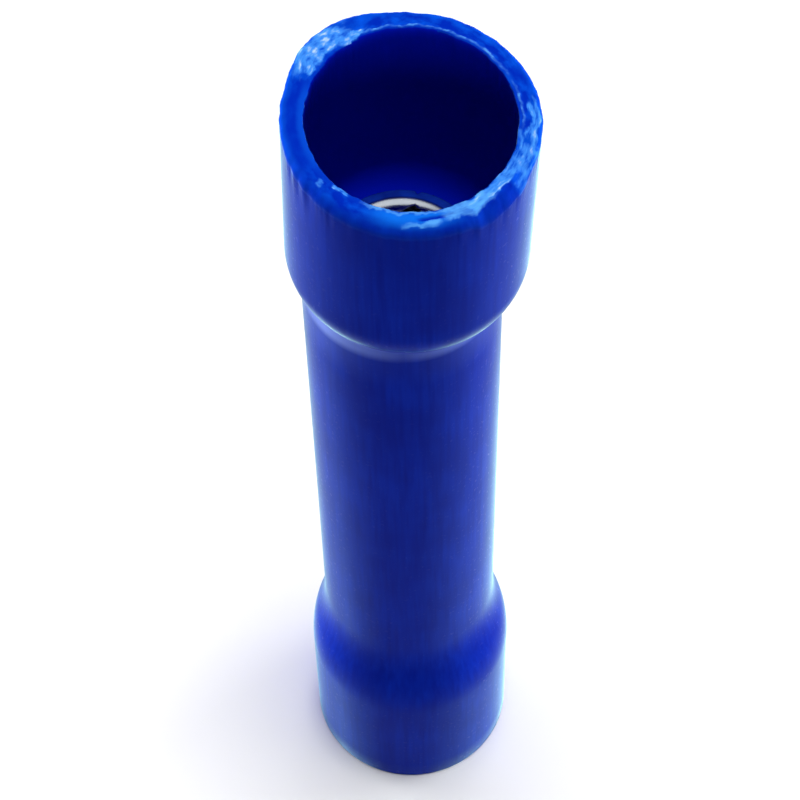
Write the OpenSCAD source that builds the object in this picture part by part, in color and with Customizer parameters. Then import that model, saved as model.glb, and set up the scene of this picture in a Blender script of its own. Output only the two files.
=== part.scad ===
// Butt splice connector: a tinned copper crimp barrel held in a blue PVC sleeve with a flared mouth at each end.
// It stands on its lower mouth. +Z runs up the tube's axis and the origin is the middle of the lower rim.

/* [Insulation sleeve] */
// Length of the sleeve along its axis
sleeve_length = 26; // [22:0.5:40]
// Wall of the sleeve, the same in the tube and in both mouths
sleeve_wall = 0.5; // [0.3:0.05:0.7]
// Bore of both mouths, which take the insulation of the wires
mouth_bore = 4.3; // [4:0.1:6]

/* [Upper mouth] */
// Straight run of the upper mouth, from its rim down to its shoulder
upper_run = 4.1; // [2:0.1:6]
// Radius of the upper mouth's tight outer shoulder
upper_shoulder = 1.5; // [0.8:0.1:3]
// Distance of the upper mouth from the tube's axis, at its shoulder
upper_offset = 0.14; // [0:0.01:0.3]
// Lean of the upper mouth to the same side, in degrees
upper_lean = 1.7; // [0:0.1:4]
// Fall of the upper rim's uneven cut towards the front, in degrees
rim_fall_front = 5.5; // [0:0.1:10]
// Fall of the upper rim's uneven cut towards the side, in degrees
rim_fall_side = 2.1; // [0:0.1:6]

/* [Lower mouth] */
// Straight run of the lower mouth, from its rim up to its shoulder
lower_run = 4; // [2:0.1:6]
// Radius of the lower mouth's gentle outer shoulder
lower_shoulder = 5; // [2:0.5:10]
// Radius of the hollow that blends that shoulder into the tube
lower_blend = 5; // [0.5:0.5:8]

/* [Crimp barrel] */
// Length of the barrel, which sits in the middle of the sleeve
barrel_length = 17; // [14:0.5:20]
// Bore of the barrel, which takes the bare conductors
barrel_bore = 2.3; // [1.6:0.1:2.6]
// Thickness of the copper strip that the barrel is rolled from
barrel_wall = 0.55; // [0.4:0.05:0.65]
// Clearance between the barrel and the sleeve, all round
barrel_fit = 0.02; // [0:0.01:0.1]
// Radius of the lead-in at the inside of the barrel's ends
lead_in = 0.32; // [0.1:0.02:0.36]
// Radius of the edge at the outside of the barrel's ends
outer_edge = 0.14; // [0.02:0.02:0.2]

/* [Wire stop] */
// How far the rolled stop stands into the bore at the middle of the barrel
stop_depth = 0.4; // [0.2:0.05:0.6]
// Radius of the roller that presses the stop in
stop_roller = 0.5; // [0.3:0.05:1]

/* [Grip grooves] */
// Grooves in each half of the bore
grip_count = 3; // [1:1:4]
// Distance from the barrel's end to the first groove
grip_setback = 2.6; // [1:0.1:3]
// Spacing of the grooves
grip_pitch = 1.2; // [0.5:0.1:1.3]
// Depth of each groove
grip_depth = 0.1; // [0.05:0.01:0.15]

/* [Seam] */
// Angle of the butted seam around the barrel, counted from +X
seam_angle = 76; // [0:1:359]
// Depth of the seam's line along the outside
seam_depth = 0.08; // [0.02:0.01:0.15]
// Half width of the V that the seam opens in the bore at each end
seam_gape = 0.3; // [0.1:0.05:0.3]
// Depth of that V
seam_gape_depth = 0.14; // [0.05:0.01:0.15]
// Length of that V, from each end
seam_gape_length = 0.8; // [0.4:0.1:2]

/* [Hidden] */
$fn = 96;
// Sides of a diamond, which cuts a V
diamond = 4;
// Reach of a cutting shape past the face that it cuts
over = 1;
// Share of the V's sides that runs on inside the bore
wedge_share = 1.08;
barrel_r = barrel_bore / 2 + barrel_wall;
tube_bore_r = barrel_r + barrel_fit;
tube_r = tube_bore_r + sleeve_wall;
mouth_bore_r = mouth_bore / 2;
mouth_r = mouth_bore_r + sleeve_wall;
upper_shoulder_z = sleeve_length - upper_run;
barrel_z = (sleeve_length - barrel_length) / 2;
// Turn of the lower shoulder, whose two arcs take the wall from the mouth's radius to the tube's
lower_turn = acos(1 - (mouth_r - tube_r) / (lower_shoulder + lower_blend));
// Radius at which the roller's middle stops, outside the barrel
roller_r = barrel_r - stop_depth + stop_roller;

// Straight mouth below, S-shaped shoulder, then straight tube up to the height top
module flared_tube(mouth, tube, run, shoulder, blend, top) {
    meet = [mouth - shoulder * (1 - cos(lower_turn)), run + shoulder * sin(lower_turn)];
    tube_z = run + (shoulder + blend) * sin(lower_turn);
    rotate_extrude()
        difference() {
            union() {
                square([mouth, run]);
                polygon([[0, run], [mouth, run], meet, [tube, tube_z], [0, tube_z]]);
                intersection() {
                    translate([mouth - shoulder, run]) circle(shoulder);
                    translate([0, run]) square([mouth, tube_z - run]);
                }
                translate([0, tube_z]) square([tube, top - tube_z]);
            }
            translate([tube + blend, tube_z]) circle(blend);
        }
}

// Straight mouth above a quarter-round shoulder that dies into the tube below, drawn from the shoulder's start
module bell(mouth, shoulder, run) {
    rotate_extrude() {
        square([mouth, run]);
        intersection() {
            translate([mouth - shoulder, 0]) circle(shoulder);
            translate([0, -shoulder]) square([mouth, shoulder]);
        }
        if (mouth > shoulder)
            translate([0, -shoulder]) square([mouth - shoulder, shoulder]);
    }
}

// Places the upper mouth, which sits a little off the tube's axis and leans
module at_upper_mouth() {
    translate([upper_offset, 0, upper_shoulder_z])
        rotate([0, upper_lean, 0]) children();
}

// All that the uneven cut of the upper rim takes away
module above_rim() {
    reach = mouth_r + upper_run;
    translate([0, 0, sleeve_length])
        rotate([rim_fall_front, rim_fall_side, 0])
            translate([-reach, -reach, 0]) cube([2 * reach, 2 * reach, reach]);
}

module insulation_sleeve() {
    color("royalblue")
        difference() {
            union() {
                flared_tube(mouth_r, tube_r, lower_run, lower_shoulder, lower_blend, upper_shoulder_z);
                at_upper_mouth() bell(mouth_r, upper_shoulder, upper_run + over);
            }
            translate([0, 0, -over])
                flared_tube(mouth_bore_r, tube_bore_r, lower_run + over, lower_shoulder - sleeve_wall,
                    lower_blend + sleeve_wall, upper_shoulder_z + over);
            at_upper_mouth() bell(mouth_bore_r, upper_shoulder - sleeve_wall, upper_run + 2 * over);
            above_rim();
        }
}

// Corner of an outline with its round taken out
module corner(radius) {
    difference() {
        square(radius);
        translate([radius, radius]) circle(radius);
    }
}

// What is cut from one end of the barrel's outline: the rounds of its mouth and the grip grooves behind it
module barrel_end_cuts() {
    translate([barrel_bore / 2, 0]) corner(lead_in);
    translate([barrel_r, 0]) mirror([1, 0]) corner(outer_edge);
    for (i = [0 : grip_count - 1])
        translate([barrel_bore / 2, grip_setback + i * grip_pitch]) circle(grip_depth, $fn = diamond);
}

// Outline of the barrel's wall, with the stop rolled in at its middle
module barrel_outline() {
    difference() {
        union() {
            translate([barrel_bore / 2, 0]) square([barrel_wall, barrel_length]);
            intersection() {
                translate([roller_r, barrel_length / 2]) circle(stop_roller + barrel_wall);
                square([barrel_r, barrel_length]);
            }
        }
        translate([roller_r, barrel_length / 2]) circle(stop_roller);
        barrel_end_cuts();
        translate([0, barrel_length]) mirror([0, 1]) barrel_end_cuts();
    }
}

// V that the seam opens in the bore, whose sides leave the bore's circle at the half width
module seam_wedge(height) {
    tip = barrel_bore / 2 + seam_gape_depth;
    chord = sqrt(pow(barrel_bore / 2, 2) - pow(seam_gape, 2));
    base = tip - wedge_share * (tip - chord);
    half = wedge_share * seam_gape;
    linear_extrude(height) polygon([[tip, 0], [base, half], [base, -half]]);
}

// Line of the butted seam along the outside, and the V that it opens in the bore at each end
module seam_cuts() {
    reach = seam_gape_length + over;
    rotate([0, 0, seam_angle]) {
        translate([barrel_r, 0, -over])
            cylinder(h = barrel_length + 2 * over, r = seam_depth, $fn = diamond);
        for (z = [-over, barrel_length - seam_gape_length])
            translate([0, 0, z]) seam_wedge(reach);
    }
}

module crimp_barrel() {
    color("silver")
        translate([0, 0, barrel_z])
            difference() {
                rotate_extrude() barrel_outline();
                seam_cuts();
            }
}

insulation_sleeve();
crimp_barrel();
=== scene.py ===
"""Butt splice connector: a blue PVC sleeve, flared at both ends, around a tinned copper barrel."""

import math

import bpy
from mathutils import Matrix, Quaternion, Vector


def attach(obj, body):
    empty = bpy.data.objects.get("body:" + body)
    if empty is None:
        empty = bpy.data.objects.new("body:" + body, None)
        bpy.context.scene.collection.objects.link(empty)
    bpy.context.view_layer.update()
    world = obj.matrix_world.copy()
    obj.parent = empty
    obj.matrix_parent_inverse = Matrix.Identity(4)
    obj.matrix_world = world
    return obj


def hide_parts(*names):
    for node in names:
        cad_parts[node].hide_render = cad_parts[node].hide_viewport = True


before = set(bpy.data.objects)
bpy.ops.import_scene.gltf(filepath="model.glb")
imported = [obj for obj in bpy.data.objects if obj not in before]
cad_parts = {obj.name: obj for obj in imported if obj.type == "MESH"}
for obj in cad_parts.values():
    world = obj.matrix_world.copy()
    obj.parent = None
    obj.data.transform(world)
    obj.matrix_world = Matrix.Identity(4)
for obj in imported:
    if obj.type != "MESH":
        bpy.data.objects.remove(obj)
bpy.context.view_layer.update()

MM = 0.001
FULL_TURN = 2 * math.pi

# Driving sizes in millimetres, which fit the two pieces to each other
SLEEVE_LENGTH = 26.0
WALL = 0.5
MOUTH_BORE_R = 2.15
BARREL_LENGTH = 17.0
BARREL_BORE_R = 1.15
BARREL_WALL = 0.55
BARREL_FIT = 0.02

# Sizes of the sleeve in millimetres
BARREL_R = BARREL_BORE_R + BARREL_WALL
TUBE_R = BARREL_R + BARREL_FIT + WALL
MOUTH_R = MOUTH_BORE_R + WALL
UPPER_RUN = 4.1
UPPER_SHOULDER = 1.5
UPPER_OFFSET = 0.14
UPPER_LEAN = math.tan(math.radians(1.7))
UPPER_Z = SLEEVE_LENGTH - UPPER_RUN
RIM_FALL_SIDE = math.tan(math.radians(2.1))
RIM_FALL_FRONT = math.tan(math.radians(5.5))
LOWER_RUN = 4.0
LOWER_SHOULDER = 5.0
LOWER_BLEND = 5.0
LOWER_TURN = math.acos(1 - (MOUTH_R - TUBE_R) / (LOWER_SHOULDER + LOWER_BLEND))
LOWER_TOP = LOWER_RUN + (LOWER_SHOULDER + LOWER_BLEND) * math.sin(LOWER_TURN)
FOOT_EDGE = 0.06
RIM_EDGE = 0.6

# What the sleeve's tree is given: lengths in millimetres, and slopes
SLEEVE_LENGTHS = {
    # The wall, and the upper mouth with the crease where it leaves the tube
    "Wall": WALL, "Mouth radius": MOUTH_R, "Shoulder": UPPER_SHOULDER, "Shoulder level": UPPER_Z,
    "Rim level": SLEEVE_LENGTH, "Offset": UPPER_OFFSET, "Crease": 0.12,
    # What the knife left: rounded edges, a bevel, tears, a burr, a crack, a flap, an inset and a wobble
    "Edge": 0.09, "Front edge": 0.28, "Bore edge": 0.075, "Bore edge fall": 0.3, "Bevel": 0.2,
    "Tear": 0.08, "Burr": 0.03, "Crack": 0.05, "Flap": 0.16, "Flap foot": SLEEVE_LENGTH - 1.5,
    "Inset": 0.04, "Wobble": 0.1,
    # Where the skin under the upper shoulder starts, and the levels of the ring there, whitened and with
    # painted sheen
    "Under": -0.6, "Ring end": UPPER_Z - 0.95, "Ring top": UPPER_Z - 1.18, "Ring foot": UPPER_Z - 1.56,
    "Ring side foot": UPPER_Z - 1.65,
}
SLEEVE_SLOPES = {"Lean": UPPER_LEAN, "Side fall": -RIM_FALL_SIDE, "Front fall": RIM_FALL_FRONT}

# Rows of points on each stretch of the sleeve's wall, from the foot up, and steps around it
OUTER_ROWS = {"lower": 6, "tube": 14, "shoulder": 30, "mouth": 14, "rim": 6}
INNER_ROWS = {"lower": 4, "tube": 4, "shoulder": 20, "mouth": 8, "rim": 10}
RIM_ROWS = 30
FOOT_ROWS = 3
SLEEVE_STEPS = 480

# Patches of the upper rim: middle, half width and soft end of an arc in degrees from +X, then the part of
# the wall that it covers, from 0 at the outside to 1 at the bore, the blur of its edges, and the strength
TORN_PATCHES = {
    "back": (133, 9, 18, 0.15, 0.72, 0.2, 0.7),
    "back core": (131, 4, 6, 0.26, 0.5, 0.14, 1.0),
    "back wisp": (113, 4, 5, 0.64, 0.82, 0.08, 0.75),
    "side": (357, 7, 8, 0.18, 0.5, 0.1, 0.66),
    "right": (339, 9, 7, 0.05, 0.95, 0.08, 0.5),
    "front right": (318, 12, 6, 0.45, 0.92, 0.05, 0.66),
    "left specks": (236, 3, 3, 0.78, 0.9, 0.05, 0.8),
    "left nick": (223, 1, 1.5, 0.35, 0.6, 0.1, 0.35),
}
PALE_PATCHES = {
    "front band": (303, 8, 7, 0.38, 0.85, 0.08, 0.85),
    "front streak": (281, 5, 4, 0.33, 0.41, 0.06, 0.8),
    # front lip: painted highlight along the inner edge at the front
    "front lip highlight": (275, 20, 10, 0.78, 0.85, 0.05, 0.75),
}
FORM_PATCHES = {
    "burr": (55, 55, 8, 0.78, 0.83, 0.04, 1.0),
    "crack": (287, 6, 5, 0.52, 0.58, 0.05, 1.0),
    "flap": (127, 4, 36, -1.0, 0.0, 1.0, 1.0),
    "inset": (60, 15, 35, -1.0, 0.0, 1.0, 1.0),
    "bevel": (318, 9, 11, -1.0, 2.0, 0.1, 1.0),
    "round front": (262, 35, 40, -1.0, 2.0, 0.1, 1.0),
    # bright front: a painted glow on the cut face at the front
    "bright front": (276, 8, 22, 0.25, 0.7, 0.18, 0.9),
    "plain left": (187, 22, 12, -1.0, 2.0, 0.1, 1.0),
}
BEVEL_SHARE = 0.4

# How far noise moves a patch's edges, around the rim in radians and across it as a share of the wall
RAGGED_TURN = 0.25
RAGGED_SHARE = 0.5
RAGGED_BURR = 0.2

# Width of the bore's rounded edge at the sides, as a share of its width at front and back
BORE_EDGE_LEAST = 0.3

# Strength of the ring at front and back, and at its peak, the share of it that is left at the
# sides, and how far aside it peaks, as a share of the radius: whitening, with painted sheen towards the
# sides
RING_FRONT = 0.18
RING_PEAK = 0.75
RING_SIDE = 0.5
RING_PEAK_AT = 0.75

# Marks above these get the skin of the bore, and the skin under the upper shoulder
BORE_FROM = 0.4
UNDER_FROM = 0.7

# Where the sleeve's mesh closes on itself, clear of the torn patches, and the arc over which noise dies out
JOIN_ANGLE = math.radians(22.5)
JOIN_ARC = math.radians(7)

# Sizes of the barrel in millimetres
BARREL_Z = (SLEEVE_LENGTH - BARREL_LENGTH) / 2
LEAD_IN = 0.32
OUTER_EDGE = 0.14
STOP_DEPTH = 0.4
STOP_ROLLER = 0.5
STOP_R = BARREL_R - STOP_DEPTH + STOP_ROLLER
GRIP_SETBACK = 2.6
GRIP_PITCH = 1.2
GRIP_COUNT = 3
GRIP_DEPTH = 0.1
SEAM_ANGLE = math.radians(76)
SEAM_DEPTH = 0.08
SEAM_GAPE = 0.3
SEAM_GAPE_DEPTH = 0.14
SEAM_GAPE_LENGTH = 0.8

# The short run in which the seam's V ends
SEAM_GAPE_RUN = 0.02

# What the barrel's tree is given in millimetres: the painted reflection of the blue sleeve starts on the
# last of the lead-in's round
BARREL_LENGTHS = {
    "Length": BARREL_LENGTH, "Foot": BARREL_Z, "Bore radius": BARREL_BORE_R, "Seam depth": SEAM_DEPTH,
    "Gape": SEAM_GAPE, "Gape depth": SEAM_GAPE_DEPTH, "Gape length": SEAM_GAPE_LENGTH,
    "Reflection edge": BARREL_BORE_R + LEAD_IN - 0.06, "Film": BARREL_BORE_R + LEAD_IN - 0.01,
}

# Rows of points on each stretch of half the barrel, steps around it, and how closely they gather at the seam
BARREL_ROWS = {"ridge": 8, "lead-in": 12, "edge": 8, "outside": 12, "groove": 8}
BARREL_STEPS = 288
BARREL_GATHER = 0.85

# Points nearer than this are one, in millimetres
CLOSE_GAP = 0.0002

# Width of each pattern's features, in millimetres
PATTERN = {
    "ragged edge": 0.35, "fleck": 0.08, "tear": 0.16, "cloud": 1.5, "streak": 0.12, "mottle": 0.22,
    "shred": 0.1, "pale streak": 0.08, "grain": 0.1, "stain": 0.5,
}

# Half width of the floor, and where its shading fades out to plain white, in metres
FLOOR_HALF = 0.3
FLOOR_FADE = (0.05, 0.1)

# Lamps: place, target, width and height in metres, then power in watts, and strength of the room's own light
MIDDLE = (0, 0, SLEEVE_LENGTH * MM / 2)
STRIP_LEVEL = 0.02
LAMPS = {
    "key": ((0.016, 0.01, 0.24), MIDDLE, (0.09, 0.06), 0.55),
    "left_strip": ((-0.21, 0.115, STRIP_LEVEL), (0, 0, STRIP_LEVEL), (0.12, 0.03), 0.96),
    "right_strip": ((0.225, 0.08, STRIP_LEVEL), (0, 0, STRIP_LEVEL), (0.12, 0.03), 0.9),
    "front_fill": ((0, -0.3, 0.06), MIDDLE, (0.15, 0.1), 0.2),
}
ROOM_LIGHT = 0.02

# Camera: eye, target, sensor and focal length in millimetres, and the turn about its own axis
CAMERA_EYE = (0.02, -31.788, 65.033)
CAMERA_TARGET = (-0.112, 0, 15.512)
CAMERA_ROLL = math.radians(-1.53)
SENSOR_WIDTH = 36
FOCAL_LENGTH = 112.26


def linear(code):
    """An sRGB hex colour as linear RGBA."""
    parts = [int(code[i:i + 2], 16) / 255 for i in (1, 3, 5)]
    curve = [p / 12.92 if p <= 0.04045 else ((p + 0.055) / 1.055) ** 2.4 for p in parts]
    return (*curve, 1.0)


def node(tree, kind, links=(), **settings):
    """Adds a node with its settings, and gives its inputs values or links, in order or by name."""
    made = tree.nodes.new(kind)
    for name, value in settings.items():
        setattr(made, name, value)
    shown = [socket for socket in made.inputs if socket.enabled]
    for key, value in links.items() if isinstance(links, dict) else enumerate(links):
        if isinstance(key, str):
            socket = next(s for s in shown if s.name == key)
        else:
            socket = shown[key]
        if isinstance(value, bpy.types.Node):
            value = next(s for s in value.outputs if s.enabled)
        if isinstance(value, bpy.types.NodeSocket):
            tree.links.new(value, socket)
        else:
            socket.default_value = value
    return made


def noise(tree, place, name, detail):
    """The named pattern, with features of their real width."""
    scale = 1 / (PATTERN[name] * MM)
    return node(tree, "ShaderNodeTexNoise", {"Vector": place, "Scale": scale, "Detail": detail})


def new_tree(name, inputs, outputs):
    """A Geometry Nodes tree with the named sockets, and its input and output nodes."""
    tree = bpy.data.node_groups.new(name, "GeometryNodeTree")
    for label, kind in inputs.items():
        tree.interface.new_socket(label, in_out="INPUT", socket_type="NodeSocket" + kind)
    for label, kind in outputs.items():
        tree.interface.new_socket(label, in_out="OUTPUT", socket_type="NodeSocket" + kind)
    return tree, tree.nodes.new("NodeGroupInput").outputs, tree.nodes.new("NodeGroupOutput").inputs


# What the trees of the sleeve and the barrel share


def turned_from(tree, angle, middle):
    """How far an angle is turned from a middle, either way round."""
    away = node(tree, "ShaderNodeMath", [angle, middle], operation="SUBTRACT")
    wrapped = node(tree, "ShaderNodeMath", [away, math.pi, -math.pi], operation="WRAP")
    return node(tree, "ShaderNodeMath", [wrapped], operation="ABSOLUTE")


def marked(tree, shape, label, field, data_type="FLOAT", domain="POINT"):
    """The shape with a field kept on it under this label."""
    mark = {"Geometry": shape, "Name": label, "Value": field}
    return node(tree, "GeometryNodeStoreNamedAttribute", mark, data_type=data_type, domain=domain)


def finished(tree, shape, material):
    """The shape closed where its ends meet, smooth, made real and given its material."""
    closed = node(tree, "GeometryNodeMergeByDistance", {"Geometry": shape, "Distance": CLOSE_GAP * MM})
    smooth = node(tree, "GeometryNodeSetShadeSmooth", {"Geometry": closed})
    real = node(tree, "GeometryNodeRealizeInstances", {"Geometry": smooth})
    return node(tree, "GeometryNodeSetMaterial", {"Geometry": real, "Material": material})


def turned_wall_tree():
    """Turns a closed line of stations about the axis, and hands on each point's angle, station and marks."""
    tree, given, made = new_tree(
        "Turned wall",
        {"Stations": "Geometry", "Steps": "Int", "Start": "Float", "Gather": "Float"},
        {"Wall": "Geometry", **dict.fromkeys(("Angle", "Radius", "Level", "Depth", "Cut"), "Float")},
    )
    count = node(tree, "GeometryNodeAttributeDomainSize", [given["Stations"]])
    columns = node(tree, "ShaderNodeMath", [given["Steps"], 1.0], operation="ADD")
    grid = node(tree, "GeometryNodeMeshGrid", [1.0, 1.0, columns, count])
    index = node(tree, "GeometryNodeInputIndex")
    share = node(tree, "ShaderNodeMath", [index, count], operation="DIVIDE")
    column = node(tree, "ShaderNodeMath", [share], operation="FLOOR")
    row = node(tree, "ShaderNodeMath", [index, count], operation="MODULO")
    whole = node(tree, "ShaderNodeMath", [column, given["Steps"]], operation="DIVIDE")
    even = node(tree, "ShaderNodeMath", [whole, FULL_TURN], operation="MULTIPLY")
    wave = node(tree, "ShaderNodeMath", [even], operation="SINE")
    pulled = node(tree, "ShaderNodeMath", [wave, given["Gather"]], operation="MULTIPLY")
    gathered = node(tree, "ShaderNodeMath", [even, pulled], operation="SUBTRACT")
    angle = node(tree, "ShaderNodeMath", [gathered, given["Start"]], operation="ADD")
    tree.links.new(grid.outputs["Mesh"], made["Wall"])
    tree.links.new(angle.outputs[0], made["Angle"])
    place = node(tree, "GeometryNodeInputPosition")
    station = node(tree, "GeometryNodeSampleIndex", [given["Stations"], place, row],
                   data_type="FLOAT_VECTOR")
    axes = node(tree, "ShaderNodeSeparateXYZ", [station])
    tree.links.new(axes.outputs["X"], made["Radius"])
    tree.links.new(axes.outputs["Z"], made["Level"])
    for label in ("Depth", "Cut"):
        mark = node(tree, "GeometryNodeInputNamedAttribute", {"Name": label.lower()}, data_type="FLOAT")
        found = node(tree, "GeometryNodeSampleIndex", [given["Stations"], mark, row], data_type="FLOAT")
        tree.links.new(found.outputs[0], made[label])
    return tree


def rim_patch_tree():
    """A soft mask of one patch of the rim: an arc around it, and a band across its wall."""
    measures = ("Angle", "Share", "Middle", "Half", "Soft", "From", "To", "Blur", "Strength")
    tree, given, made = new_tree("Rim patch", dict.fromkeys(measures, "Float"), {"Mask": "Float"})
    apart = turned_from(tree, given["Angle"], given["Middle"])
    edge = node(tree, "ShaderNodeMath", [given["Half"], given["Soft"]], operation="ADD")
    arc = node(tree, "ShaderNodeMapRange", [apart, edge, given["Half"], 0.0, 1.0],
               interpolation_type="SMOOTHSTEP")
    low = node(tree, "ShaderNodeMath", [given["From"], given["Blur"]], operation="SUBTRACT")
    high = node(tree, "ShaderNodeMath", [given["To"], given["Blur"]], operation="ADD")
    rise = node(tree, "ShaderNodeMapRange", [given["Share"], low, given["From"], 0.0, 1.0],
                interpolation_type="SMOOTHSTEP")
    fall = node(tree, "ShaderNodeMapRange", [given["Share"], high, given["To"], 0.0, 1.0],
                interpolation_type="SMOOTHSTEP")
    band = node(tree, "ShaderNodeMath", [rise, fall], operation="MULTIPLY")
    full = node(tree, "ShaderNodeMath", [arc, band], operation="MULTIPLY")
    mask = node(tree, "ShaderNodeMath", [full, given["Strength"]], operation="MULTIPLY")
    tree.links.new(mask.outputs[0], made["Mask"])
    return tree


TURNED_WALL = turned_wall_tree()
RIM_PATCH = rim_patch_tree()


def stations_object(name, stations):
    """The stations (radius, level, depth, cut) as a line of points that carry depth and cut."""
    mesh = bpy.data.meshes.new(name)
    mesh.from_pydata([(r * MM, 0, z * MM) for r, z, depth, cut in stations], [], [])
    for label, column in (("depth", 2), ("cut", 3)):
        mark = mesh.attributes.new(label, "FLOAT", "POINT")
        scale = MM if label == "depth" else 1
        mark.data.foreach_set("value", [station[column] * scale for station in stations])
    piece = bpy.data.objects.new(name, mesh)
    bpy.context.scene.collection.objects.link(piece)
    return piece


def grow(piece, tree, values):
    """Runs the tree on the piece with these input values, and keeps the result as the piece's plain mesh."""
    modifier = piece.modifiers.new(tree.name, "NODES")
    modifier.node_group = tree
    for item in tree.interface.items_tree:
        if item.item_type == "SOCKET" and item.name in values:
            modifier[item.identifier] = values[item.name]
    piece.update_tag()
    bpy.context.view_layer.update()
    grown = piece.evaluated_get(bpy.context.evaluated_depsgraph_get())
    stations = piece.data
    mesh = bpy.data.meshes.new_from_object(grown)
    piece.modifiers.remove(modifier)
    piece.data = mesh
    bpy.data.meshes.remove(stations)
    mesh.name = piece.name


def spaced(start, end, count):
    """Evenly spaced values from start up to, but not including, end."""
    return [start + (end - start) * i / count for i in range(count)]


# The sleeve


def lower_wall(depth, fine):
    """The wall from the foot to the top of the S-shaped shoulder, this deep under the outside."""
    mouth, tube = MOUTH_R - depth, TUBE_R - depth
    shoulder, blend = LOWER_SHOULDER - depth, LOWER_BLEND + depth
    points = [(mouth, z) for z in spaced(FOOT_EDGE, LOWER_RUN, fine)]
    for turn in spaced(0, LOWER_TURN, 2 * fine):
        points.append((mouth - shoulder * (1 - math.cos(turn)), LOWER_RUN + shoulder * math.sin(turn)))
    for turn in spaced(LOWER_TURN, 0, fine):
        points.append((tube + blend * (1 - math.cos(turn)), LOWER_TOP - blend * math.sin(turn)))
    return points


def wall_line(depth, rows):
    """One side of the sleeve's wall from the foot up to the rim, this deep under the outside."""
    points = lower_wall(depth, rows["lower"])
    starts = {
        "tube": LOWER_TOP,
        "shoulder": UPPER_Z - UPPER_SHOULDER,
        "mouth": UPPER_Z,
        "rim": SLEEVE_LENGTH - RIM_EDGE,
    }
    ends = [*starts.values(), SLEEVE_LENGTH][1:]
    for (stretch, start), end in zip(starts.items(), ends):
        points += [(TUBE_R - depth, z) for z in spaced(start, end, rows[stretch])]
    return points


def sleeve_stations():
    """The closed line around the sleeve's wall: up outside, over the rim, down inside, across the foot."""
    line = [(r, z, 0.0, 0.0) for r, z in wall_line(0, OUTER_ROWS)]
    for i in range(RIM_ROWS + 1):
        depth = WALL * (1 - math.cos(math.pi * i / RIM_ROWS)) / 2
        line.append((TUBE_R - depth, SLEEVE_LENGTH, depth, 1.0))
    line += [(r, z, WALL, 0.0) for r, z in reversed(wall_line(WALL, INNER_ROWS))]
    for turn in spaced(0, math.pi / 2, FOOT_ROWS)[1:]:
        rise = FOOT_EDGE * (1 - math.sin(turn))
        line.append((MOUTH_BORE_R + FOOT_EDGE * (1 - math.cos(turn)), rise, WALL, 0.0))
    line.append((MOUTH_BORE_R + FOOT_EDGE, 0, WALL, 0.0))
    line.append((MOUTH_BORE_R + WALL / 2, 0, WALL / 2, 0.0))
    line.append((MOUTH_R - FOOT_EDGE, 0, 0.0, 0.0))
    for turn in spaced(0, math.pi / 2, FOOT_ROWS)[1:]:
        fall = FOOT_EDGE * (1 - math.cos(turn))
        line.append((MOUTH_R - FOOT_EDGE * (1 - math.sin(turn)), fall, 0.0, 0.0))
    return line + line[:1]


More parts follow.
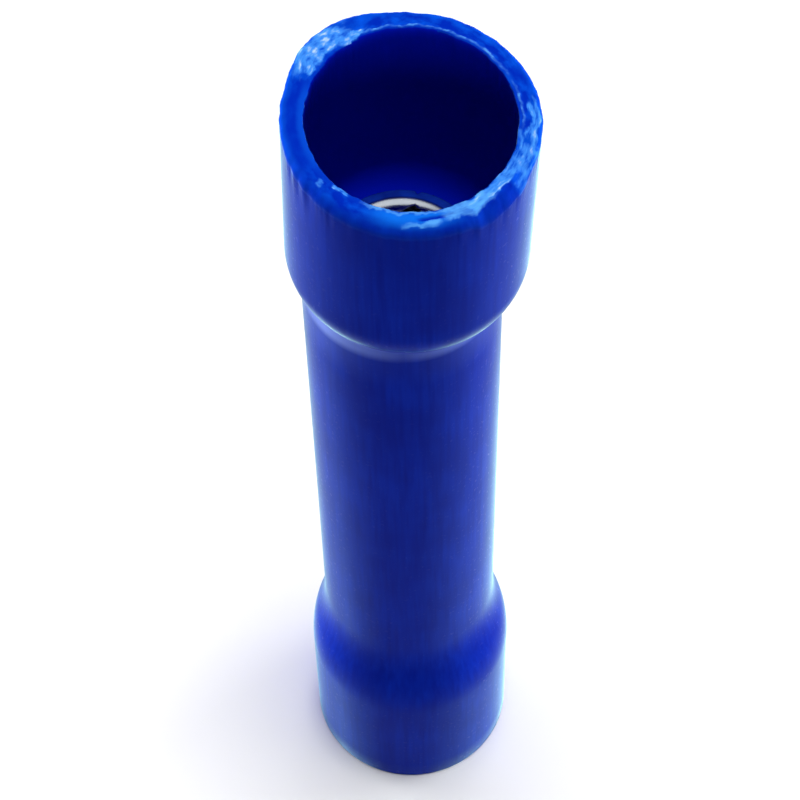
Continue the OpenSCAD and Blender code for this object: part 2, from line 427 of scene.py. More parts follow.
def sleeve_tree(skin, bore_skin, under_skin):
    """The sleeve: the turned wall, widened by the leaning upper mouth and cut off unevenly at its rim."""
    sizes = dict.fromkeys([*SLEEVE_LENGTHS, *SLEEVE_SLOPES], "Float")
    tree, given, made = new_tree(
        "Insulation sleeve", {"Stations": "Geometry", "Steps": "Int", **sizes}, {"Sleeve": "Geometry"}
    )
    turning = {"Stations": given["Stations"], "Steps": given["Steps"], "Start": JOIN_ANGLE}
    wall = node(tree, "GeometryNodeGroup", turning, node_tree=TURNED_WALL)
    angle, level = wall.outputs["Angle"], wall.outputs["Level"]
    depth, cut = wall.outputs["Depth"], wall.outputs["Cut"]
    across = node(tree, "ShaderNodeMath", [angle], operation="COSINE")
    along = node(tree, "ShaderNodeMath", [angle], operation="SINE")

    # Radius of the upper mouth, whose middle moves aside with the lean
    height = node(tree, "ShaderNodeMath", [level, given["Shoulder level"]], operation="SUBTRACT")
    middle = node(tree, "ShaderNodeMath", [height, given["Lean"], given["Offset"]], operation="MULTIPLY_ADD")
    rise = node(tree, "ShaderNodeMath", [given["Lean"], given["Mouth radius"]], operation="MULTIPLY")
    tilted = node(tree, "ShaderNodeMath", [across, rise, height], operation="MULTIPLY_ADD")
    below = node(tree, "ShaderNodeMath", [tilted, 0.0], operation="MINIMUM")
    below_squared = node(tree, "ShaderNodeMath", [below, below], operation="MULTIPLY")
    bend = node(tree, "ShaderNodeMath", [given["Shoulder"], depth], operation="SUBTRACT")
    bend_squared = node(tree, "ShaderNodeMath", [bend, bend], operation="MULTIPLY")
    left = node(tree, "ShaderNodeMath", [bend_squared, below_squared], operation="SUBTRACT")
    kept = node(tree, "ShaderNodeMath", [left, 0.0], operation="MAXIMUM")
    reach = node(tree, "ShaderNodeMath", [kept], operation="SQRT")
    hub = node(tree, "ShaderNodeMath", [given["Mouth radius"], given["Shoulder"]], operation="SUBTRACT")
    mouth = node(tree, "ShaderNodeMath", [reach, hub], operation="ADD")
    mouth_squared = node(tree, "ShaderNodeMath", [mouth, mouth], operation="MULTIPLY")
    aside = node(tree, "ShaderNodeMath", [middle, along], operation="MULTIPLY")
    aside_squared = node(tree, "ShaderNodeMath", [aside, aside], operation="MULTIPLY")
    chord = node(tree, "ShaderNodeMath", [mouth_squared, aside_squared], operation="SUBTRACT")
    half_chord = node(tree, "ShaderNodeMath", [chord], operation="SQRT")
    flare = node(tree, "ShaderNodeMath", [middle, across, half_chord], operation="MULTIPLY_ADD")
    tube = wall.outputs["Radius"]
    radius = node(tree, "ShaderNodeMath", [tube, flare, given["Crease"]], operation="SMOOTH_MAX")

    # Patches of the rim, with edges made ragged by noise that dies out where the mesh closes
    share = node(tree, "ShaderNodeMath", [depth, given["Wall"]], operation="DIVIDE")
    around = node(tree, "ShaderNodeMath", [angle, given["Mouth radius"]], operation="MULTIPLY")
    on_rim = node(tree, "ShaderNodeCombineXYZ", [around, depth, 0.0])
    ragged = noise(tree, on_rim, "ragged edge", 4.0)
    stray = node(tree, "ShaderNodeMath", [ragged.outputs[0], 0.5], operation="SUBTRACT")
    join = turned_from(tree, angle, JOIN_ANGLE)
    clear = node(tree, "ShaderNodeMapRange", [join, 0.0, JOIN_ARC, 0.0, 1.0],
                 interpolation_type="SMOOTHSTEP")
    stray = node(tree, "ShaderNodeMath", [stray, clear], operation="MULTIPLY")
    ragged_angle = node(tree, "ShaderNodeMath", [stray, RAGGED_TURN, angle], operation="MULTIPLY_ADD")
    ragged_share = node(tree, "ShaderNodeMath", [stray, RAGGED_SHARE, share], operation="MULTIPLY_ADD")
    masks = {}
    for label, patch in {**TORN_PATCHES, **PALE_PATCHES, **FORM_PATCHES}.items():
        arc = [math.radians(degrees) for degrees in patch[:3]]
        place = [angle, share] if label in FORM_PATCHES else [ragged_angle, ragged_share]
        if label == "burr":
            burr_share = node(tree, "ShaderNodeMath", [stray, RAGGED_BURR, share], operation="MULTIPLY_ADD")
            place = [angle, burr_share]
        masks[label] = node(tree, "GeometryNodeGroup", place + arc + list(patch[3:]), node_tree=RIM_PATCH)
    flecks = node(tree, "ShaderNodeVectorMath", [on_rim, (0.6, 0.5, 1.0)], operation="MULTIPLY")
    flecks = noise(tree, flecks, "fleck", 4.0)
    fleck = node(tree, "ShaderNodeMapRange", [flecks.outputs[0], 0.42, 0.64, 0.2, 1.0])
    burr = node(tree, "ShaderNodeMath", [masks["burr"], fleck], operation="MULTIPLY")
    burr = node(tree, "ShaderNodeMath", [burr, clear], operation="MULTIPLY")
    torn, pale = masks["back"], burr
    for label in list(TORN_PATCHES)[1:]:
        torn = node(tree, "ShaderNodeMath", [torn, masks[label]], operation="MAXIMUM")
    for label in PALE_PATCHES:
        pale = node(tree, "ShaderNodeMath", [pale, masks[label]], operation="MAXIMUM")
    torn = node(tree, "ShaderNodeMath", [torn, cut], operation="MULTIPLY")
    pale = node(tree, "ShaderNodeMath", [pale, cut], operation="MULTIPLY")
    # Painted glow at the front of the cut face, dark again along the crack
    front_glow = node(tree, "ShaderNodeMath", [masks["bright front"], masks["crack"]], operation="SUBTRACT")

    # The flap that the cut pushed outwards at the back of the rim, the stretch beside it that it pulled in,
    # and the slight wobble that it left all round
    near_rim = node(tree, "ShaderNodeMapRange", [level, given["Rim level"], given["Flap foot"], 1.0, 0.0],
                    interpolation_type="SMOOTHSTEP")
    flap = node(tree, "ShaderNodeMath", [masks["flap"], given["Flap"]], operation="MULTIPLY")
    inset = node(tree, "ShaderNodeMath", [masks["inset"], given["Inset"]], operation="MULTIPLY")
    flap = node(tree, "ShaderNodeMath", [flap, inset], operation="SUBTRACT")
    pushed = node(tree, "ShaderNodeMath", [flap, near_rim, radius], operation="MULTIPLY_ADD")
    at_rim = node(tree, "ShaderNodeMath", [near_rim, 4.0], operation="POWER")
    wobble = node(tree, "ShaderNodeMath", [stray, given["Wobble"]], operation="MULTIPLY")
    pushed = node(tree, "ShaderNodeMath", [wobble, at_rim, pushed], operation="MULTIPLY_ADD")
    x = node(tree, "ShaderNodeMath", [pushed, across], operation="MULTIPLY")
    y = node(tree, "ShaderNodeMath", [pushed, along], operation="MULTIPLY")

    # Height of the rim: its slanted cut, its rounded edges, the bevel, the tears, the crack and the burr
    ramp = node(tree, "ShaderNodeMapRange", [level, given["Shoulder level"], given["Rim level"], 0.0, 1.0])
    side = node(tree, "ShaderNodeMath", [x, given["Side fall"]], operation="MULTIPLY")
    slant = node(tree, "ShaderNodeMath", [y, given["Front fall"], side], operation="MULTIPLY_ADD")
    extra = node(tree, "ShaderNodeMath", [given["Front edge"], given["Edge"]], operation="SUBTRACT")
    front = masks["round front"]
    edge = node(tree, "ShaderNodeMath", [front, extra, given["Edge"]], operation="MULTIPLY_ADD")
    to_bore = node(tree, "ShaderNodeMath", [given["Wall"], depth], operation="SUBTRACT")
    broad = node(tree, "ShaderNodeMath", [along, along], operation="MULTIPLY")
    broad = node(tree, "ShaderNodeMapRange", [broad, 0.0, 1.0, BORE_EDGE_LEAST, 1.0])
    bore_edge = node(tree, "ShaderNodeMath", [broad, given["Bore edge"]], operation="MULTIPLY")
    rounds = {"outside": (depth, edge, edge), "bore": (to_bore, bore_edge, given["Bore edge fall"])}
    on_edge = {}
    rounded = 0.0
    for label, (distance, width, fall) in rounds.items():
        into = node(tree, "ShaderNodeMath", [distance, width], operation="DIVIDE")
        beyond = node(tree, "ShaderNodeMath", [1.0, into], operation="SUBTRACT")
        on_edge[label] = node(tree, "ShaderNodeMath", [beyond, 0.0], operation="MAXIMUM")
        squared = node(tree, "ShaderNodeMath", [on_edge[label], on_edge[label]], operation="MULTIPLY")
        rest = node(tree, "ShaderNodeMath", [1.0, squared], operation="SUBTRACT")
        round_top = node(tree, "ShaderNodeMath", [rest], operation="SQRT")
        sunk = node(tree, "ShaderNodeMath", [1.0, round_top], operation="SUBTRACT")
        rounded = node(tree, "ShaderNodeMath", [sunk, fall, rounded], operation="MULTIPLY_ADD")
    slope = node(tree, "ShaderNodeMapRange", [share, 0.0, BEVEL_SHARE, 1.0, 0.0])
    bevel = node(tree, "ShaderNodeMath", [masks["bevel"], given["Bevel"]], operation="MULTIPLY")
    drop = node(tree, "ShaderNodeMath", [bevel, slope, rounded], operation="MULTIPLY_ADD")
    sloped = node(tree, "ShaderNodeMath", [slant, drop], operation="SUBTRACT")
    rough = noise(tree, on_rim, "tear", 4.0)
    raised = node(tree, "ShaderNodeMath", [rough.outputs[0], 0.5], operation="SUBTRACT")
    tear = node(tree, "ShaderNodeMath", [raised, torn], operation="MULTIPLY")
    tear = node(tree, "ShaderNodeMath", [tear, given["Tear"]], operation="MULTIPLY")
    lifted = node(tree, "ShaderNodeMath", [burr, given["Burr"], tear], operation="MULTIPLY_ADD")
    crack = node(tree, "ShaderNodeMath", [masks["crack"], given["Crack"]], operation="MULTIPLY")
    crack = node(tree, "ShaderNodeMath", [crack, cut], operation="MULTIPLY")
    worn = node(tree, "ShaderNodeMath", [lifted, crack], operation="SUBTRACT")
    moved = node(tree, "ShaderNodeMath", [sloped, ramp, level], operation="MULTIPLY_ADD")
    z = node(tree, "ShaderNodeMath", [moved, worn], operation="ADD")

    # The cut face shows except where the knife smeared the skin over the front edge, and on the bevel, whose
    # plain darker skin colour is partly painted shade
    smear = node(tree, "ShaderNodeMapRange", [share, 0.05, 0.6, 0.8, 0.0], interpolation_type="SMOOTHSTEP")
    smear = node(tree, "ShaderNodeMath", [smear, front], operation="MULTIPLY")
    bevel_shade = node(tree, "ShaderNodeMapRange", [share, 0.3, 0.5, 0.85, 0.0], interpolation_type="SMOOTHSTEP")
    bevel_shade = node(tree, "ShaderNodeMath", [bevel_shade, masks["bevel"]], operation="MULTIPLY")
    smear = node(tree, "ShaderNodeMath", [smear, bevel_shade], operation="MAXIMUM")
    smear = node(tree, "ShaderNodeMath", [1.0, smear], operation="SUBTRACT")
    shown = node(tree, "ShaderNodeMath", [cut, smear], operation="MULTIPLY")

    # The even stretches of the cut, and the skin under the upper shoulder, which lies in shade and gets a
    # painted-shade copy of the plastic without its sheen
    near_join = node(tree, "ShaderNodeMath", [1.0, clear], operation="SUBTRACT")
    plain = node(tree, "ShaderNodeMath", [masks["plain left"], near_join], operation="MAXIMUM")
    under = node(tree, "ShaderNodeMath", [tilted, given["Under"]], operation="LESS_THAN")
    flared = node(tree, "ShaderNodeMath", [flare, tube], operation="GREATER_THAN")
    under = node(tree, "ShaderNodeMath", [under, flared], operation="MULTIPLY")
    under = node(tree, "ShaderNodeMath", [under, share], operation="SUBTRACT")

    # The ring under the upper shoulder: partly whitening where drawing the mouth out stretched the wall,
    # partly painted sheen, strongest towards the sides
    across_squared = node(tree, "ShaderNodeMath", [across, across], operation="MULTIPLY")
    ring_foot = node(tree, "ShaderNodeMapRange",
                     [across_squared, 0.0, 1.0, given["Ring foot"], given["Ring side foot"]])
    ring = node(tree, "ShaderNodeMapRange", [level, ring_foot, given["Ring top"], 0.0, 1.0],
                interpolation_type="SMOOTHSTEP")
    below_bell = node(tree, "ShaderNodeMath", [level, given["Ring end"]], operation="LESS_THAN")
    ring = node(tree, "ShaderNodeMath", [ring, below_bell], operation="MULTIPLY")
    sideways = node(tree, "ShaderNodeMath", [across], operation="ABSOLUTE")
    growing = node(tree, "ShaderNodeMapRange", [sideways, 0.0, RING_PEAK_AT, RING_FRONT, RING_PEAK])
    fading = node(tree, "ShaderNodeMapRange", [sideways, RING_PEAK_AT, 1.0, 1.0, RING_SIDE])
    strength = node(tree, "ShaderNodeMath", [growing, fading], operation="MULTIPLY")
    ring = node(tree, "ShaderNodeMath", [ring, strength], operation="MULTIPLY")
    ring = node(tree, "ShaderNodeMath", [ring, share], operation="SUBTRACT", use_clamp=True)

    place = node(tree, "ShaderNodeCombineXYZ", [x, y, z])
    shaped = node(tree, "GeometryNodeSetPosition", {"Geometry": wall.outputs["Wall"], "Position": place})
    marks = {
        "cut": shown, "torn": torn, "pale": pale, "share": share, "front_glow": front_glow, "bore": on_edge["bore"],
        "plain": plain, "under": under, "strained_and_sheen": ring,
    }
    for label, field in marks.items():
        shaped = marked(tree, shaped, label, field)
    on_points = node(tree, "GeometryNodeFieldOnDomain", [on_rim], data_type="FLOAT_VECTOR", domain="POINT")
    shaped = marked(tree, shaped, "on_rim", on_points, "FLOAT_VECTOR", "CORNER")
    done = finished(tree, shaped, skin)
    for label, least, other_skin in (("bore", BORE_FROM, bore_skin), ("under", UNDER_FROM, under_skin)):
        mark = node(tree, "GeometryNodeInputNamedAttribute", {"Name": label}, data_type="FLOAT")
        chosen = node(tree, "FunctionNodeCompare", [mark, least],
                      data_type="FLOAT", operation="GREATER_THAN")
        setting = {"Geometry": done, "Selection": chosen, "Material": other_skin}
        done = node(tree, "GeometryNodeSetMaterial", setting)
    tree.links.new(done.outputs[0], made["Sleeve"])
    return tree


def insulation_sleeve():
    """The blue sleeve, which stands for its CAD solid."""
    sleeve = stations_object("sleeve", sleeve_stations())
    lengths = {label: size * MM for label, size in SLEEVE_LENGTHS.items()}
    tree = sleeve_tree(sleeve_pvc(), bore_pvc(), under_pvc())
    grow(sleeve, tree, {"Steps": SLEEVE_STEPS, **lengths, **SLEEVE_SLOPES})
    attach(sleeve, "root")
    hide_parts("insulation_sleeve")


# The barrel


def barrel_half():
    """The barrel's outline from the middle of its bore, round its lower end, to its outside's middle."""
    middle = BARREL_LENGTH / 2
    ridge = STOP_ROLLER + BARREL_WALL
    ridge_turn = math.acos((STOP_R - BARREL_BORE_R) / ridge)
    groove_turn = math.acos((STOP_R - BARREL_R) / STOP_ROLLER)
    inner = []
    for turn in spaced(0, ridge_turn, BARREL_ROWS["ridge"]):
        inner.append((STOP_R - ridge * math.cos(turn), middle - ridge * math.sin(turn)))
    inner.append((BARREL_BORE_R, middle - ridge * math.sin(ridge_turn)))
    for i in reversed(range(GRIP_COUNT)):
        z = GRIP_SETBACK + i * GRIP_PITCH
        for out, up in ((0, GRIP_DEPTH), (GRIP_DEPTH, 0), (0, -GRIP_DEPTH)):
            inner.append((BARREL_BORE_R + out, z + up))
    inner += [(BARREL_BORE_R, SEAM_GAPE_LENGTH + SEAM_GAPE_RUN), (BARREL_BORE_R, SEAM_GAPE_LENGTH)]
    for turn in spaced(0, math.pi / 2, BARREL_ROWS["lead-in"]):
        inner.append((BARREL_BORE_R + LEAD_IN * (1 - math.cos(turn)), LEAD_IN * (1 - math.sin(turn))))
    inner.append((BARREL_BORE_R + LEAD_IN, 0))
    outer = []
    for turn in spaced(0, math.pi / 2, BARREL_ROWS["edge"]):
        outer.append((BARREL_R - OUTER_EDGE * (1 - math.sin(turn)), OUTER_EDGE * (1 - math.cos(turn))))
    groove_low = middle - STOP_ROLLER * math.sin(groove_turn)
    outer += [(BARREL_R, z) for z in spaced(OUTER_EDGE, groove_low, BARREL_ROWS["outside"])]
    for turn in spaced(groove_turn, 0, BARREL_ROWS["groove"]):
        outer.append((STOP_R - STOP_ROLLER * math.cos(turn), middle - STOP_ROLLER * math.sin(turn)))
    line = [(r, z, 0.0, 0.0) for r, z in inner]
    return line + [(r, z, 0.0, 1.0) for r, z in outer]


def barrel_stations():
    """The closed line around the barrel's wall, mirrored about its middle."""
    half = barrel_half()
    middle = (STOP_R - STOP_ROLLER, BARREL_LENGTH / 2, 0.0, 1.0)
    other = [(r, BARREL_LENGTH - z, depth, cut) for r, z, depth, cut in reversed(half)]
    line = half + [middle] + other[:-1]
    return line + line[:1]


def barrel_tree(material):
    """The barrel: the turned wall with the butted seam of its rolled strip, and the painted reflection of
    the blue sleeve on its outside.
    """
    sizes = dict.fromkeys(["Seam angle", "Gather", *BARREL_LENGTHS], "Float")
    tree, given, made = new_tree(
        "Crimp barrel", {"Stations": "Geometry", "Steps": "Int", **sizes}, {"Barrel": "Geometry"}
    )
    turning = {label: given[label] for label in ("Stations", "Steps", "Gather")}
    turning["Start"] = given["Seam angle"]
    wall = node(tree, "GeometryNodeGroup", turning, node_tree=TURNED_WALL)
    angle, level = wall.outputs["Angle"], wall.outputs["Level"]
    across = node(tree, "ShaderNodeMath", [angle], operation="COSINE")
    along = node(tree, "ShaderNodeMath", [angle], operation="SINE")
    turned = turned_from(tree, angle, given["Seam angle"])
    apart = node(tree, "ShaderNodeMath", [turned, wall.outputs["Radius"]], operation="MULTIPLY")

    # The seam's line along the outside
    line = node(tree, "ShaderNodeMath", [given["Seam depth"], apart], operation="SUBTRACT")
    line = node(tree, "ShaderNodeMath", [line, 0.0], operation="MAXIMUM")
    groove = node(tree, "ShaderNodeMath", [line, wall.outputs["Cut"]], operation="MULTIPLY")
    radius = node(tree, "ShaderNodeMath", [wall.outputs["Radius"], groove], operation="SUBTRACT")

    # The V that the seam opens in the bore at both ends
    tip = node(tree, "ShaderNodeMath", [given["Bore radius"], given["Gape depth"]], operation="ADD")
    opened = node(tree, "ShaderNodeMapRange", [apart, 0.0, given["Gape"], tip, given["Bore radius"]])
    to_top = node(tree, "ShaderNodeMath", [given["Length"], level], operation="SUBTRACT")
    to_end = node(tree, "ShaderNodeMath", [level, to_top], operation="MINIMUM")
    slack = SEAM_GAPE_RUN / 2 * MM
    near_end = node(tree, "ShaderNodeMath", [to_end, given["Gape length"], slack], operation="COMPARE")
    nearer = node(tree, "ShaderNodeMath", [to_end, given["Gape length"]], operation="LESS_THAN")
    near_end = node(tree, "ShaderNodeMath", [near_end, nearer], operation="MAXIMUM")
    opened = node(tree, "ShaderNodeMath", [opened, near_end], operation="MULTIPLY")
    bore_side = node(tree, "ShaderNodeMath", [1.0, wall.outputs["Cut"]], operation="SUBTRACT")
    opened = node(tree, "ShaderNodeMath", [opened, bore_side], operation="MULTIPLY")
    radius = node(tree, "ShaderNodeMath", [radius, opened], operation="MAXIMUM")
    z = node(tree, "ShaderNodeMath", [level, given["Foot"]], operation="ADD")
    x = node(tree, "ShaderNodeMath", [radius, across], operation="MULTIPLY")
    y = node(tree, "ShaderNodeMath", [radius, along], operation="MULTIPLY")
    place = node(tree, "ShaderNodeCombineXYZ", [x, y, z])
    shaped = node(tree, "GeometryNodeSetPosition", {"Geometry": wall.outputs["Wall"], "Position": place})

    # The painted reflection of the blue sleeve covers the outside and ends on the lead-in's round
    painted_reflection = node(tree, "ShaderNodeMapRange",
                [wall.outputs["Radius"], given["Reflection edge"], given["Film"], 0.0, 1.0])
    painted_reflection = node(tree, "ShaderNodeMath", [painted_reflection, wall.outputs["Cut"]], operation="MAXIMUM")
    done = finished(tree, marked(tree, shaped, "painted_reflection", painted_reflection), material)
    tree.links.new(done.outputs[0], made["Barrel"])
    return tree


def crimp_barrel():
    """The metal barrel, which stands for its CAD solid."""
    barrel = stations_object("barrel", barrel_stations())
    values = {label: size * MM for label, size in BARREL_LENGTHS.items()}
    values.update({"Steps": BARREL_STEPS, "Seam angle": SEAM_ANGLE, "Gather": BARREL_GATHER})
    grow(barrel, barrel_tree(tinned_copper()), values)
    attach(barrel, "root")
    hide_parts("crimp_barrel")


# Materials


def new_material(name):
    """A node material with its tree, its shader and its Object coordinates."""
    material = bpy.data.materials.new(name)
    material.use_nodes = True
    tree = material.node_tree
    shader = tree.nodes["Principled BSDF"]
    place = node(tree, "ShaderNodeTexCoord").outputs["Object"]
    return material, tree, shader, place


def plain_pvc(name, dark, light, roughness):
    """The sleeve's PVC where it catches no haze: a deep blue in soft clouds."""
    material, tree, shader, place = new_material(name)
    cloud = noise(tree, place, "cloud", 2.0)
    blue = node(tree, "ShaderNodeMix", [cloud, linear(dark), linear(light)], data_type="RGBA")
    tree.links.new(blue.outputs[2], shader.inputs["Base Color"])
    shader.inputs["Roughness"].default_value = roughness
    shader.inputs["Specular IOR Level"].default_value = 0.02
    return material


def bore_pvc():
    """Plasticised PVC inside the bore."""
    return plain_pvc("plasticised_pvc_in_the_bore", "#0112B0", "#0118C0", 0.3)


def under_pvc():
    """Plasticised PVC under the upper shoulder: painted shade, a copy of the skin without its sheen, in the
    blue of the walls in shade.
    """
    return plain_pvc("plasticised_pvc_under_the_shoulder", "#031C96", "#0628AE", 0.5)


def sleeve_pvc():
    """Plasticised PVC, extruded: a deep blue satin skin, hazy at its edges and torn pale at the cut."""
    material, tree, shader, place = new_material("plasticised_pvc")
    marks = {}
    for label in ("cut", "torn", "pale", "share", "front_glow", "plain", "strained_and_sheen"):
        marks[label] = node(tree, "ShaderNodeAttribute", attribute_name=label).outputs["Fac"]
    on_rim = node(tree, "ShaderNodeAttribute", attribute_name="on_rim").outputs["Vector"]

    # Skin of the walls, with faint streaks that run along the tube
    cloud = noise(tree, place, "cloud", 2.0)
    upright = node(tree, "ShaderNodeMapping", {"Vector": place, "Scale": (1.0, 1.0, 0.06)})
    streak = noise(tree, upright, "streak", 2.0)
    drift = node(tree, "ShaderNodeMath", [cloud.outputs[0], streak.outputs[0]], operation="MULTIPLY")
    drift = node(tree, "ShaderNodeMapRange", [drift, 0.12, 0.4, 0.0, 1.0])
    skin = node(tree, "ShaderNodeMix", [drift, linear("#011A94"), linear("#0226AC")], data_type="RGBA")
    # The ring's pale lilac: whitening, and painted sheen under the shoulder
    skin = node(tree, "ShaderNodeMix", [marks["strained_and_sheen"], skin, linear("#8CA6FF")], data_type="RGBA")

    # The cut face: mottled along the rim, with painted highlights at both edges of its dished face, which
    # leave a darker middle, and a painted glow at the front
    drawn = node(tree, "ShaderNodeMapping", {"Vector": on_rim, "Scale": (0.55, 1.0, 1.0)})
    mottle = noise(tree, drawn, "mottle", 4.0)
    outward = node(tree, "ShaderNodeMath", [marks["share"], -0.25, 0.11], operation="MULTIPLY_ADD")
    patchy = node(tree, "ShaderNodeMath", [mottle.outputs[0], outward], operation="ADD")
    patchy = node(tree, "ShaderNodeMapRange", [patchy, 0.42, 0.68, 0.0, 1.0])
    calm = node(tree, "ShaderNodeMath", [marks["plain"], -0.8, 1.0], operation="MULTIPLY_ADD")
    patchy = node(tree, "ShaderNodeMath", [patchy, calm], operation="MULTIPLY")
    face = node(tree, "ShaderNodeMix", [patchy, linear("#0128B0"), linear("#0650D6")], data_type="RGBA")
    # Painted highlight along both edges of the cut face, as light falls on a slightly dished face
    off_middle = node(tree, "ShaderNodeMath", [marks["share"], 0.48], operation="SUBTRACT")
    off_middle = node(tree, "ShaderNodeMath", [off_middle], operation="ABSOLUTE")
    edge_highlight = node(tree, "ShaderNodeMapRange", [off_middle, 0.1, 0.38, 0.0, 1.0],
                 interpolation_type="SMOOTHSTEP")
    lined = node(tree, "ShaderNodeMath", [marks["plain"], 0.5, 0.25], operation="MULTIPLY_ADD")
    edge_highlight = node(tree, "ShaderNodeMath", [edge_highlight, lined], operation="MULTIPLY")
    face = node(tree, "ShaderNodeMix", [edge_highlight, face, linear("#084CCC")], data_type="RGBA")
    # Painted glow at the front of the cut face
    face = node(tree, "ShaderNodeMix", [marks["front_glow"], face, linear("#0E6EE4")], data_type="RGBA")
    blue = node(tree, "ShaderNodeMix", [marks["cut"], skin, face], data_type="RGBA")

    # Pale shreds of the torn places, drawn out along the rim and whitest where the tear is strongest
    drawn_out = {"Vector": on_rim, "Location": (0.13 * MM, 0.0, 0.0), "Scale": (0.33, 1.0, 1.0)}
    drawn_out = node(tree, "ShaderNodeMapping", drawn_out)
    shreds = noise(tree, drawn_out, "shred", 2.5)
    strength = node(tree, "ShaderNodeMath", [marks["torn"], 0.35, -0.22], operation="MULTIPLY_ADD")
    shreds = node(tree, "ShaderNodeMath", [shreds.outputs[0], strength], operation="ADD")
    soft = node(tree, "ShaderNodeMapRange", [shreds, 0.3, 0.58, 0.0, 1.0], interpolation_type="SMOOTHSTEP")
    white = node(tree, "ShaderNodeMapRange", [shreds, 0.55, 0.78, 0.0, 1.0], interpolation_type="SMOOTHSTEP")
    shred = node(tree, "ShaderNodeMix", [soft, linear("#054AC8"), linear("#3E8CEC")], data_type="RGBA")
    shred = node(tree, "ShaderNodeMix", [white, shred, linear("#BCD8FC")], data_type="RGBA")
    cover = node(tree, "ShaderNodeMapRange", [marks["torn"], 0.02, 0.55, 0.0, 1.0])
    colour = node(tree, "ShaderNodeMix", [cover, blue, shred], data_type="RGBA")
    streaked = node(tree, "ShaderNodeMapping", {"Vector": on_rim, "Scale": (0.25, 1.0, 1.0)})
    streaked = noise(tree, streaked, "pale streak", 3.0)
    streaked = node(tree, "ShaderNodeMapRange", [streaked.outputs[0], 0.35, 0.65, 0.45, 1.0])
    paler = node(tree, "ShaderNodeMath", [marks["pale"], streaked], operation="MULTIPLY")
    colour = node(tree, "ShaderNodeMix", [paler, colour, linear("#5CACF6")], data_type="RGBA")
    tree.links.new(colour.outputs[2], shader.inputs["Base Color"])

    # Satin skin, duller on the cut face
    grain = noise(tree, place, "grain", 2.0)
    satin = node(tree, "ShaderNodeMapRange", [grain.outputs[0], 0.3, 0.7, 0.2, 0.28])
    dull = node(tree, "ShaderNodeMath", [marks["cut"], 0.3, satin], operation="MULTIPLY_ADD")
    tree.links.new(dull.outputs[0], shader.inputs["Roughness"])
    ripple = {"Strength": 0.15, "Distance": 0.01 * MM, "Height": grain.outputs[0]}
    bump = node(tree, "ShaderNodeBump", ripple)
    tree.links.new(bump.outputs[0], shader.inputs["Normal"])
    shader.inputs["Specular IOR Level"].default_value = 0.008
    shader.inputs["Sheen Weight"].default_value = 1.0
    shader.inputs["Sheen Roughness"].default_value = 0.22
    shader.inputs["Sheen Tint"].default_value = linear("#C0FCFF")
    return material


def tinned_copper():
    """Copper strip plated with tin: bright grey metal with a soft shine; outside, a painted reflection of
    the blue sleeve in matt blue.
    """
    material, tree, shader, place = new_material("tinned_copper")
    painted_reflection = node(tree, "ShaderNodeAttribute", attribute_name="painted_reflection").outputs["Fac"]
    stain = noise(tree, place, "stain", 3.0)
    tin = node(tree, "ShaderNodeMix", [stain, linear("#B0B8C4"), linear("#D6DCE4")], data_type="RGBA")
    reflection_share = node(tree, "ShaderNodeMapRange", [painted_reflection, 0.0, 0.3, 0.0, 1.0])
    patchy = node(tree, "ShaderNodeMapRange", [stain, 0.35, 0.65, 0.0, 1.0])
    # Painted reflection of the blue sleeve: a dark blue that is not metal
    blue = node(tree, "ShaderNodeMix", [patchy, linear("#061A74"), linear("#0C2C90")], data_type="RGBA")
    tin = node(tree, "ShaderNodeMix", [reflection_share, tin, blue], data_type="RGBA")
    tree.links.new(tin.outputs[2], shader.inputs["Base Color"])
    bare = node(tree, "ShaderNodeMath", [1.0, painted_reflection], operation="SUBTRACT")
    tree.links.new(bare.outputs[0], shader.inputs["Metallic"])
    shine = node(tree, "ShaderNodeMapRange", [stain, 0.3, 0.7, 0.2, 0.28])
    tree.links.new(shine.outputs[0], shader.inputs["Roughness"])
    return material


def straight_rays(tree):
    """1 for what the camera sees, also in a mirror or through glass, and 0 for light that bounces."""
    ray = node(tree, "ShaderNodeLightPath").outputs
    seen = node(tree, "ShaderNodeMath", [ray["Is Camera Ray"], ray["Is Glossy Ray"]], operation="MAXIMUM")
    return node(tree, "ShaderNodeMath", [seen, ray["Is Transmission Ray"]], operation="MAXIMUM")


def white_card():
    """Matt white card: pale to carry the soft shadow, plain white far away, and clear from below."""
    material = bpy.data.materials.new("white_card")
    material.use_nodes = True
    tree = material.node_tree
    tree.nodes.clear()
    seen = straight_rays(tree)
    bounced = node(tree, "ShaderNodeBsdfDiffuse", {"Color": linear("#CACACA")})
    white = node(tree, "ShaderNodeBsdfDiffuse", {"Color": linear("#FAFAFA")})
    near = node(tree, "ShaderNodeMixShader", [seen, bounced, white])
    place = node(tree, "ShaderNodeTexCoord").outputs["Object"]
    away = node(tree, "ShaderNodeVectorMath", [place], operation="LENGTH")
    far = node(tree, "ShaderNodeMapRange", [away, FLOOR_FADE[0], FLOOR_FADE[1], 0.0, 1.0])
    far = node(tree, "ShaderNodeMath", [far, seen], operation="MULTIPLY")
    horizon = node(tree, "ShaderNodeEmission", {"Color": linear("#FFFFFF"), "Strength": 1.0})
    card = node(tree, "ShaderNodeMixShader", [far, near, horizon])
    below = node(tree, "ShaderNodeNewGeometry").outputs["Backfacing"]
    clear = node(tree, "ShaderNodeBsdfTransparent")
    sheet = node(tree, "ShaderNodeMixShader", [below, card, clear])
    node(tree, "ShaderNodeOutputMaterial", [sheet])
    return material


# Stage, lights and camera


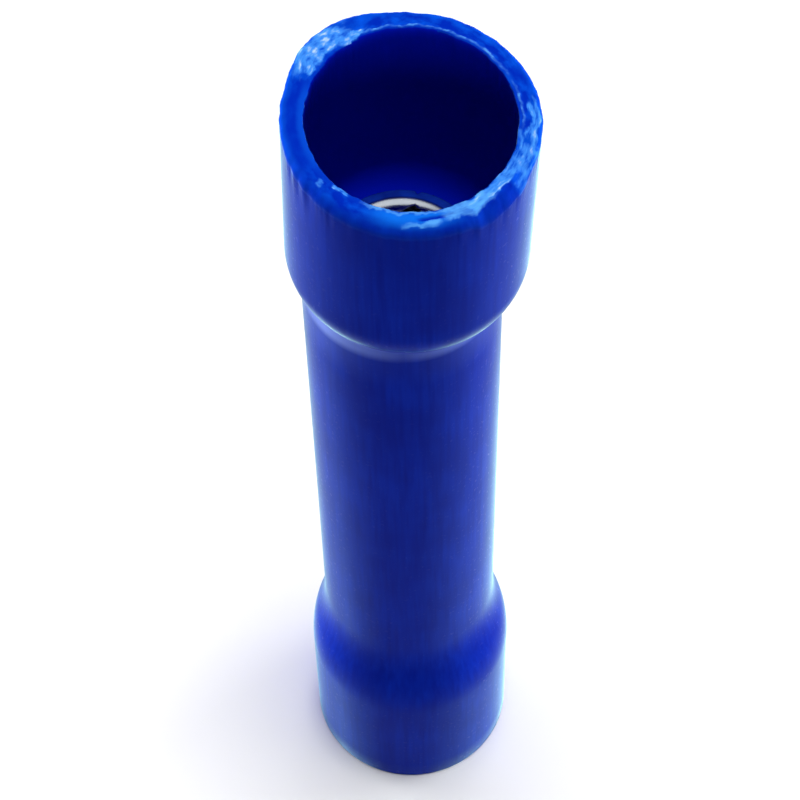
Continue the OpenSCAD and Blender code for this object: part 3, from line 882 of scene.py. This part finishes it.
def studio_floor():
    """The pale floor that the connector stands on."""
    half = FLOOR_HALF
    mesh = bpy.data.meshes.new("floor")
    corners = [(-half, -half, 0), (half, -half, 0), (half, half, 0), (-half, half, 0)]
    mesh.from_pydata(corners, [], [(0, 1, 2, 3)])
    mesh.materials.append(white_card())
    floor = bpy.data.objects.new("floor", mesh)
    bpy.context.scene.collection.objects.link(floor)


def soft_box(name, place, target, size, power):
    """A rectangular area light, turned to a target and kept out of reflections: size is width and height."""
    light = bpy.data.lights.new(name, "AREA")
    light.shape = "RECTANGLE"
    light.size, light.size_y = size
    light.energy = power
    lamp = bpy.data.objects.new(name, light)
    lamp.location = place
    lamp.rotation_euler = (Vector(target) - Vector(place)).to_track_quat("-Z", "Y").to_euler()
    lamp.visible_glossy = False
    bpy.context.scene.collection.objects.link(lamp)


def studio_light():
    """A soft key from overhead, a low strip at each side, a faint front fill, and a dim white room."""
    for name, lamp in LAMPS.items():
        soft_box(name, *lamp)
    world = bpy.data.worlds.new("white_room")
    world.use_nodes = True
    tree = world.node_tree
    tree.nodes.clear()
    fill = node(tree, "ShaderNodeBackground", {"Color": linear("#FFFFFF"), "Strength": ROOM_LIGHT})
    white = node(tree, "ShaderNodeBackground", {"Color": linear("#FFFFFF"), "Strength": 1.0})
    mixed = node(tree, "ShaderNodeMixShader", [straight_rays(tree), fill, white])
    node(tree, "ShaderNodeOutputWorld", [mixed])
    bpy.context.scene.world = world


def photo_camera():
    """The camera, close above the front of the connector and turned a little about its own axis."""
    eye = Vector(CAMERA_EYE) * MM
    target = Vector(CAMERA_TARGET) * MM
    lens = bpy.data.cameras.new("camera")
    lens.sensor_width = SENSOR_WIDTH
    lens.lens = FOCAL_LENGTH
    lens.clip_start = 1 * MM
    camera = bpy.data.objects.new("camera", lens)
    camera.location = eye
    aim = (target - eye).to_track_quat("-Z", "Y")
    camera.rotation_euler = (aim @ Quaternion((0, 0, 1), CAMERA_ROLL)).to_euler()
    bpy.context.scene.collection.objects.link(camera)
    bpy.context.scene.camera = camera


bpy.context.scene.view_settings.view_transform = "Standard"
insulation_sleeve()
crimp_barrel()
studio_floor()
studio_light()
photo_camera()
